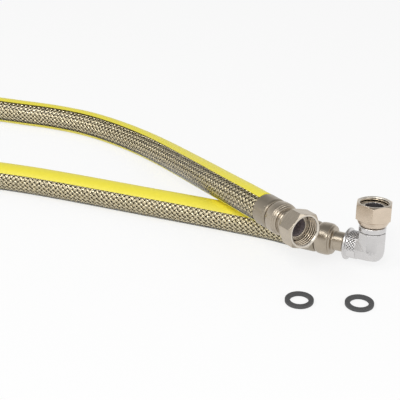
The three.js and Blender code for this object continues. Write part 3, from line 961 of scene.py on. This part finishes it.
class GASHOSE_OT_ferrules(bpy.types.Operator):
    """Crimped steel sleeves that hold the cover and the braid on the tails"""

    bl_idname = "gashose.ferrules"
    bl_label = "Ferrules"

    def execute(self, context):
        settings = context.scene.gashose_fittings
        # Stainless sheet, pressed on: satin and grey brown, with broad soft highlights
        steel = metal_finish(
            "pressed_stainless_sleeve", settings.ferrule_colour, roughness=0.36, grain_mm=0.35,
            grain_depth_mm=0.012,
        )
        for node, placing in (("straight_ferrule", STRAIGHT_END), ("elbow_ferrule", ELBOW_END)):
            piece = mesh_piece(node + "_sleeve", [ferrule_shell(placing, PUNCH_MARKS[node])], [steel])
            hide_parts(node)
            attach(piece, "hose")
        return {"FINISHED"}


def tail_outline(grooves):
    """The shank, the waist and the domed collar, in order outwards. The collar's front has one or two
    turned grooves."""
    front = [
        (10.85, 21.3), (10.35, 21.5), (10.35, 21.75), (10.7, 21.95), (10.4, 22.8), (9.85, 23.0),
        (9.85, 23.25), (10.05, 23.4), (9.7, 24.1), (9.2, COLLAR_END),
    ]
    if grooves < 2:
        front = [(10.75, 22.0), (10.4, 22.8)] + front[5:]
    return [
        (FLOW_RADIUS, SHANK_TIP), (6.7, SHANK_TIP), (SHANK_RADIUS, SHANK_TIP + 1),
        (SHANK_RADIUS, 10.9), (WAIST_RADIUS, FERRULE_LIP_START),
        (WAIST_RADIUS, FERRULE_LENGTH + 0.2), (9.9, FERRULE_LENGTH + 0.25), (10.3, COLLAR_START),
        (10.8, 15.2), (COLLAR_RADIUS, 16.8), (COLLAR_RADIUS, 20.4),
    ] + front


def row_finishes(profile, face_height):
    """Which finish each row of a turned piece starts: 1 down the bore, 2 on the sealing face, else 0."""
    following = np.roll(profile, -1, axis=0)
    in_bore = (profile[:, 0] < FLOW_RADIUS + 0.02) & (following[:, 0] < FLOW_RADIUS + 0.02)
    on_face = np.minimum(profile[:, 1], following[:, 1]) > face_height - 0.05
    return np.where(in_bore, 1, np.where(on_face, 2, 0))


def tail_shell(placing, grooves, outward):
    """A turned tail: its outline out to the tip and back down the bore, whose rows are dull."""
    outline = tail_outline(grooves) + outward
    profile = rounded(outline, 0.55, 5)
    return grid_shell(
        placing.place(turned_rows(profile, full_turn(TURNED_COLUMNS))),
        slot_of_row=row_finishes(profile, outline[-1][1]),
    )


class GASHOSE_OT_tails(bpy.types.Operator):
    """Turned tails with a domed collar, a neck and, on the straight end, the sealing flange"""

    bl_idname = "gashose.tails"
    bl_label = "Tails"

    def execute(self, context):
        settings = context.scene.gashose_fittings
        # Nickel over turned brass: warm grey, with narrow highlights round the collar and its grooves
        nickel = metal_finish(
            "turned_nickel_plated_brass", settings.tail_colour, roughness=0.32, grain_mm=0.3,
            grain_depth_mm=0.01,
        )
        face = sealing_face(settings)
        bore = dull_bore(1.0)
        back = STRAIGHT_FLANGE_FACE - FLANGE_THICKNESS
        straight = [
            (NECK_STEP_RADIUS, COLLAR_END), (NECK_STEP_RADIUS, COLLAR_END + NECK_STEP_LENGTH),
            (NECK_RADIUS, COLLAR_END + NECK_STEP_LENGTH + 1.6), (NECK_RADIUS, back), (FLANGE_RADIUS, back),
            (FLANGE_RADIUS, STRAIGHT_FLANGE_FACE), (FLOW_RADIUS, STRAIGHT_FLANGE_FACE),
        ]
        tip = ELBOW_MOUTH + ELBOW_SOCKET_DEPTH - 0.3
        elbow = [(7.2, COLLAR_END), (NECK_RADIUS, COLLAR_END + 0.6), (NECK_RADIUS, tip), (FLOW_RADIUS, tip)]
        for node, placing, grooves, outward in (
            ("straight_tail", STRAIGHT_END, 2, straight),
            ("elbow_tail", ELBOW_END, 1, elbow),
        ):
            piece = mesh_piece(
                node + "_turned", [tail_shell(placing, grooves, outward)], [nickel, bore, face]
            )
            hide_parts(node)
            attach(piece, "hose")
        return {"FINISHED"}


def nut_shell(placing, settings):
    """A swivel nut on one grid. Outside, each column climbs the skirt, the lower 30 degree cone up to
    the hexagon's radius at its angle, the flat, and the upper cone. Inside, the thread's radius is
    minor + depth wave(h / pitch - angle / 2 pi), with wave a triangle wave cut flat at its foot and
    its crest. The rim and the thread have finishes of their own."""
    angle, flat_radius = polygon_outline(6, settings.nut_flats / MM, NUT_CORNER_FILLET, 11)
    slope = math.tan(math.radians(30))
    edge = settings.nut_flats / MM / 2 - 0.2

    def ring(radius, height):
        """One row: local points at a radius and a height, at each of the nut's angles."""
        radius = np.asarray(radius, float) + 0 * angle
        return np.stack([radius * np.cos(angle), radius * np.sin(angle), height + 0 * angle], axis=-1)

    rows = [ring(NUT_PASSAGE, 0.35), ring(NUT_PASSAGE + 0.3, 0.0), ring(8.5, 0.0)]
    sweep = np.linspace(0, 1, 11)
    skirt_radius = 8.8 + (NUT_SHOULDER - 9.0) * np.sin(sweep * math.pi / 2) ** 0.75
    skirt_height = 0.25 + (NUT_SKIRT - 0.5) * sweep
    rows += [ring(r, h) for r, h in zip(skirt_radius, skirt_height)]
    rows += [
        ring(
            NUT_SHOULDER + (flat_radius - NUT_SHOULDER) * t,
            NUT_SKIRT + (flat_radius - NUT_SHOULDER) * t * slope,
        )
        for t in (0.0, 0.5, 0.94)
    ]
    low = NUT_SKIRT + (flat_radius - NUT_SHOULDER) * slope
    high = NUT_LENGTH - (flat_radius - edge) * slope
    rows += [ring(flat_radius - 0.02, low + 0.02)]
    rows += [
        ring(flat_radius, low + 0.12 + (high - low - 0.24) * t)
        for t in (0.0, 0.02, 0.25, 0.5, 0.75, 0.98, 1.0)
    ]
    rows += [ring(flat_radius - 0.02, high - 0.02)]
    rows += [
        ring(edge + (flat_radius - edge) * t, NUT_LENGTH - (flat_radius - edge) * t * slope)
        for t in (0.94, 0.5, 0.06)
    ]
    rows += [
        ring(edge - 0.06, NUT_LENGTH - 0.01), ring(edge - 0.2, NUT_LENGTH), ring(NUT_MOUTH + 0.1, NUT_LENGTH),
        ring(NUT_MOUTH, NUT_LENGTH - 0.04), ring(NUT_MINOR + 0.15, NUT_LENGTH - 0.7),
    ]
    outside = len(rows)
    pitch = settings.thread_pitch / MM
    heights = np.linspace(NUT_LENGTH - 0.85, NUT_LENGTH - THREAD_LENGTH, THREAD_ROWS)
    turn = heights[:, None] / pitch - angle[None] / (2 * math.pi)
    wave = np.clip(4 * np.abs(turn - np.floor(turn + 0.5)) - 0.5, 0, 1.2) / 1.2
    fade = np.clip((NUT_LENGTH - 0.6 - heights) / 0.5, 0, 1)
    fade = fade * np.clip((heights - (NUT_LENGTH - THREAD_LENGTH)) / 0.8, 0, 1)
    rows += [ring(r, h) for r, h in zip(NUT_MINOR + THREAD_DEPTH * wave * fade[:, None], heights)]
    rows += [
        ring(NUT_RELIEF, NUT_LENGTH - 9.45), ring(NUT_RELIEF, NUT_LENGTH - 9.6),
        ring(NUT_RELIEF, NUT_REAR_WALL + 0.15),
        ring(NUT_RELIEF - 0.15, NUT_REAR_WALL), ring(NUT_PASSAGE + 0.2, NUT_REAR_WALL),
        ring(NUT_PASSAGE, NUT_REAR_WALL - 0.2),
    ]
    rows = np.array(rows)
    steps = np.linalg.norm(np.diff(rows[:, 0], axis=0), axis=-1)
    along = np.concatenate([[0], np.cumsum(steps)])
    along[outside:outside + len(heights)] = heights
    slots = np.zeros(len(rows), int)
    slots[outside - 5:outside - 1] = 2
    slots[outside - 1:outside + len(heights) - 1] = 1
    turns = np.append(angle, angle[0] + 2 * math.pi) / (2 * math.pi)
    return grid_shell(placing.place(rows), turns, along, slot_of_row=slots)


class GASHOSE_OT_nuts(bpy.types.Operator):
    """Swivel hexagon nuts with a round skirt and a G1/2 internal thread"""

    bl_idname = "gashose.nuts"
    bl_label = "Swivel nuts"

    def execute(self, context):
        settings = context.scene.gashose_fittings
        # Satin nickel over milled brass: plain even flats, warmer on the elbow's nut. The rim was cut
        # last, and shows as a thin bright ring
        cool = metal_finish(
            "satin_nickel_plated_brass", settings.straight_nut_colour, roughness=0.3, grain_mm=0.5,
            grain_depth_mm=0.008,
        )
        warm = metal_finish(
            "warm_nickel_plated_brass", settings.elbow_nut_colour, roughness=0.3, grain_mm=0.5,
            grain_depth_mm=0.008,
        )
        thread = cut_thread(settings)
        rim = metal_finish(
            "turned_bright_nickel_face", settings.face_colour, roughness=0.34, grain_mm=0.4,
            grain_depth_mm=0.01,
        )
        arm = elbow_arm()
        for node, placing, finish, slot in (
            (
                "straight_nut", STRAIGHT_END.turned(STRAIGHT_NUT_TURN, STRAIGHT_NUT_REAR), cool,
                "nickel_brass_nut",
            ),
            ("elbow_nut", arm.turned(ELBOW_NUT_TURN, ELBOW_NUT_REAR), warm, "warm_nickel_brass_nut"),
        ):
            piece = mesh_piece(node + "_threaded", [nut_shell(placing, settings)], [finish, thread, rim])
            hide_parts(node)
            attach(piece, node)
        return {"FINISHED"}


def elbow_body_placing():
    """The frame of the elbow: at the hose axis under the arm, rolled about that axis."""
    return ELBOW_END.turned(-ELBOW_ROLL, ELBOW_MOUTH + ELBOW_MOUTH_TO_AXIS)


def elbow_arm():
    """The frame of the elbow's raised arm, with z up the arm."""
    return elbow_body_placing().raised()


def elbow_shell(placing):
    """Forged body: an eight-sided section (x, v) carried along z, bent up at the mitre z = -v, and on
    up y with z = -v. Through the bend a column runs z = -v - leg soft(-t) and y = v + leg soft(t),
    with soft(t) = (t + sqrt(t^2 + e^2)) / 2. Past the arm's axis and under the hose's, a point at a
    distance of the heel's radius + p from the crossing of the axes is drawn in by max(p, 0), which
    turns into (p + sqrt(p^2 + s^2)) / 2 over the heel's first few millimetres. The passage inside
    does the same with a round section, and steps out to the socket and the seat."""
    heel_softness, heel_fade = 0.8, 3
    angle, radius = polygon_outline(8, ELBOW_FLATS, 0.9, 7)
    start = -ELBOW_MOUTH_TO_AXIS + MOUTH_RING_LENGTH

    def along_hose(section, z):
        """A row across the hose's axis."""
        return np.stack([section[:, 0], section[:, 1], z + 0 * section[:, 0]], axis=-1)

    def up_arm(section, height):
        """A row across the raised arm."""
        return np.stack([section[:, 0], height + 0 * section[:, 0], -section[:, 1]], axis=-1)

    def bend(section, corner, ball):
        """The rows through the mitre, with e = corner and ball as the heel's radius."""
        v = section[None, :, 1]
        t = np.linspace(-1, 1, 31)[:, None]
        leg = 1.6 + np.maximum(-v, 0)
        soft = np.sqrt(t**2 + (corner / leg) ** 2)
        rows = np.stack(
            [section[None, :, 0] + 0 * t, v + leg * (t + soft) / 2, -v - leg * (soft - t) / 2], axis=-1
        )
        distance = np.linalg.norm(rows, axis=-1, keepdims=True)
        past = distance - ball
        share = np.clip(-rows[..., 1:2] / heel_fade, 0, 1) * np.clip(rows[..., 2:3] / heel_fade, 0, 1)
        soft_max = (past + np.sqrt(past**2 + heel_softness**2)) / 2
        drawn_in = soft_max * share + np.maximum(past, 0) * (1 - share)
        in_heel = (rows[..., 1:2] < 0) & (rows[..., 2:3] > 0)
        return list(np.where(in_heel, rows * (1 - drawn_in / distance), rows))

    directions = np.stack([np.cos(angle), np.sin(angle)], axis=-1)
    outer = directions * radius[:, None]
    bore, socket, seat = (directions * r for r in (FLOW_RADIUS, ELBOW_SOCKET_RADIUS, SPIGOT_SEAT_RADIUS))
    rows = [along_hose(socket, start), along_hose(outer * 0.985, start), along_hose(outer, start + 0.2)]
    rows += bend(outer, 0.7, ELBOW_HEEL_RADIUS)
    rows += [
        up_arm(outer, ELBOW_ARM_HEIGHT - 0.5), up_arm(outer, ELBOW_ARM_HEIGHT - 0.35),
        up_arm(outer * 0.97, ELBOW_ARM_HEIGHT), up_arm(seat, ELBOW_ARM_HEIGHT),
        up_arm(seat, SPIGOT_PLUG_END - 0.3),
    ]
    inner_start = len(rows)
    rows += [up_arm(bore, SPIGOT_PLUG_END - 0.3)]
    rows += bend(bore, 0.3, 40.0)[::-1]
    socket_end = -ELBOW_MOUTH_TO_AXIS + ELBOW_SOCKET_DEPTH
    rows += [along_hose(bore, socket_end), along_hose(socket, socket_end)]
    rows = np.array(rows)
    slots = np.where(np.arange(len(rows)) >= inner_start, 1, 0)
    return grid_shell(placing.place(rows), slot_of_row=slots)


def socket_shell(placing, settings):
    """The turned mouth ring and the knurled band behind it. The knurl's height is the product of two
    rows of slanted ridges, |sin(n a / 2 + k z)| |sin(n a / 2 - k z)|, and it fades out underneath.
    The band has the knurled finish, and the ring's chamfer the polished one."""
    knurl_height = 0.3
    mouth = -ELBOW_MOUTH_TO_AXIS
    ring_end = mouth + MOUTH_RING_LENGTH
    band_end = ring_end + SOCKET_BAND_LENGTH
    band = np.linspace(ring_end + 0.8, band_end - 0.3, SOCKET_BAND_ROWS)
    outline = np.array(
        [
            (ELBOW_SOCKET_RADIUS, mouth + 0.3), (7.1, mouth), (7.3, mouth), (9.1, mouth), (9.3, mouth),
            (9.4, mouth + 0.08), (10.6, mouth + 1.08), (MOUTH_RING_RADIUS, mouth + 1.3),
            (MOUTH_RING_RADIUS, mouth + 1.45), (MOUTH_RING_RADIUS, ring_end - 0.3),
            (MOUTH_RING_RADIUS - 0.08, ring_end - 0.1), (MOUTH_RING_RADIUS - 0.3, ring_end),
            (SOCKET_BAND_RADIUS + 0.2, ring_end + 0.35), (SOCKET_BAND_RADIUS, ring_end + 0.6),
        ]
        + [(SOCKET_BAND_RADIUS, z) for z in band]
        + [(SOCKET_BAND_RADIUS - 0.2, band_end), (ELBOW_SOCKET_RADIUS, band_end)]
    )
    angles = full_turn(SOCKET_COLUMNS)
    rows = turned_rows(outline, angles)
    count = round(2 * math.pi * SOCKET_BAND_RADIUS / (settings.knurl_pitch / MM))
    z = outline[:, 1:]
    lean = math.pi / (settings.knurl_pitch / MM)
    ridges = np.abs(np.sin(count * angles / 2 + lean * z)) * np.abs(np.sin(count * angles / 2 - lean * z))
    inside = np.clip((z - band[0]) / 0.5, 0, 1) * np.clip((band[-1] - z) / 0.5, 0, 1) * (outline[:, :1] > 9.2)
    upper = np.clip(0.9 + 2.2 * np.sin(angles)[None], 0, 1)
    rows[..., :2] *= (1 + knurl_height * (ridges - 0.2) * inside * upper / SOCKET_BAND_RADIUS)[..., None]
    slots = np.where((outline[:, 1] >= band[0]) & (outline[:, 1] < band[-1]) & (outline[:, 0] > 9.2), 2, 0)
    slots = np.where((outline[:, 1] < mouth + 1.2) & (outline[:, 0] > 9.0), 3, slots)
    return grid_shell(placing.place(rows), row_values=outline[:, 1] - band[0] + 10, slot_of_row=slots)


def spigot_shell(placing):
    """The turned spigot: plug, collar, neck and flange, and its bore."""
    back = SPIGOT_FLANGE_FACE - FLANGE_THICKNESS
    outline = [
        (FLOW_RADIUS, SPIGOT_PLUG_END), (7.1, SPIGOT_PLUG_END), (SPIGOT_PLUG_RADIUS, SPIGOT_PLUG_END + 0.4),
        (SPIGOT_PLUG_RADIUS, SPIGOT_SEAT), (SPIGOT_COLLAR_RADIUS - 0.15, SPIGOT_SEAT),
        (SPIGOT_COLLAR_RADIUS, SPIGOT_SEAT + 0.3), (SPIGOT_COLLAR_RADIUS, SPIGOT_COLLAR_TOP - 0.5),
        (SPIGOT_COLLAR_RADIUS - 0.5, SPIGOT_COLLAR_TOP), (NECK_RADIUS, SPIGOT_COLLAR_TOP),
        (NECK_RADIUS, back),
        (FLANGE_RADIUS, back), (FLANGE_RADIUS, SPIGOT_FLANGE_FACE), (FLOW_RADIUS, SPIGOT_FLANGE_FACE),
    ]
    profile = rounded(outline, 0.3, 5)
    return grid_shell(
        placing.place(turned_rows(profile, full_turn(TURNED_COLUMNS))),
        slot_of_row=row_finishes(profile, SPIGOT_FLANGE_FACE),
    )


class GASHOSE_OT_elbow(bpy.types.Operator):
    """Forged chrome elbow with its knurled socket, and the spigot pressed into its arm"""

    bl_idname = "gashose.elbow"
    bl_label = "Elbow"

    def execute(self, context):
        settings = context.scene.gashose_fittings
        # Chrome over a forging: cold pale grey and softly uneven. The mouth's chamfer was polished, and
        # mirrors the room as a thin sharp edge
        chrome = metal_finish(
            "satin_chrome_plated_brass", settings.elbow_colour, roughness=0.3, grain_mm=1.2,
            grain_depth_mm=0.02, blotch=0.06,
        )
        knurl = knurled_chrome(settings)
        polished = metal_finish(
            "polished_chrome_chamfer", settings.elbow_colour, roughness=0.09, grain_mm=1.2,
            grain_depth_mm=0.002, blotch=0.06,
        )
        face = sealing_face(settings)
        # A fifth of the bore's tone: painted shade down the elbow's long bent passage
        bore = dull_bore(0.2)
        placing = elbow_body_placing()
        body = mesh_piece(
            "elbow_forged", [elbow_shell(placing), socket_shell(placing, settings)],
            [chrome, bore, knurl, polished],
        )
        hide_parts("elbow_body")
        spigot = mesh_piece("elbow_spigot_turned", [spigot_shell(elbow_arm())], [chrome, bore, face])
        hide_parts("elbow_spigot")
        for piece in (body, spigot):
            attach(piece, "hose")
        return {"FINISHED"}


class GASHOSE_OT_gaskets(bpy.types.Operator):
    """Two flat rubber gaskets with soft moulded edges"""

    bl_idname = "gashose.gaskets"
    bl_label = "Gaskets"

    def execute(self, context):
        settings = context.scene.gashose_gaskets
        rubber = black_gasket_rubber(settings)
        inner, outer, top = (
            value / MM for value in (settings.bore / 2, settings.outer / 2, settings.thickness)
        )
        profile = rounded([(inner, 0), (outer, 0), (outer, top), (inner, top)], 0.35, 6)
        for node, (x, y) in GASKET_PLACES.items():
            placing = Placing((x, y, 0), (1, 0, 0), (0, 1, 0), (0, 0, 1))
            ring = grid_shell(placing.place(turned_rows(profile, full_turn(TURNED_COLUMNS))))
            piece = mesh_piece(node + "_moulded", [ring], [rubber])
            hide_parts(node)
            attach(piece, "hose")
        return {"FINISHED"}


class GASHOSE_PT_panel(bpy.types.Panel):
    """Lists the pieces of the gas hose"""

    bl_label = "Gas Hose"
    bl_space_type = "VIEW_3D"
    bl_region_type = "UI"
    bl_category = "Gas Hose"

    def draw(self, context):
        for step in STEPS:
            self.layout.operator(step.bl_idname)


STEPS = (
    GASHOSE_OT_stage, GASHOSE_OT_hose, GASHOSE_OT_ferrules, GASHOSE_OT_tails, GASHOSE_OT_elbow,
    GASHOSE_OT_nuts, GASHOSE_OT_gaskets,
)
GROUPS = {
    "gashose_hose": HoseSettings,
    "gashose_fittings": FittingSettings,
    "gashose_gaskets": GasketSettings,
    "gashose_stage": StageSettings,
}


def register():
    """Registers the settings, the steps and the panel."""
    for name, group in GROUPS.items():
        bpy.utils.register_class(group)
        setattr(bpy.types.Scene, name, bpy.props.PointerProperty(type=group))
    for step in STEPS:
        bpy.utils.register_class(step)
    bpy.utils.register_class(GASHOSE_PT_panel)


def unregister():
    """Takes all of them out again, the last one first."""
    bpy.utils.unregister_class(GASHOSE_PT_panel)
    for step in reversed(STEPS):
        bpy.utils.unregister_class(step)
    for name, group in GROUPS.items():
        delattr(bpy.types.Scene, name)
        bpy.utils.unregister_class(group)


def main():
    """Builds every piece in order."""
    register()
    bpy.ops.gashose.stage()
    bpy.ops.gashose.hose()
    bpy.ops.gashose.ferrules()
    bpy.ops.gashose.tails()
    bpy.ops.gashose.elbow()
    bpy.ops.gashose.nuts()
    bpy.ops.gashose.gaskets()


if __name__ == "__main__":
    main()
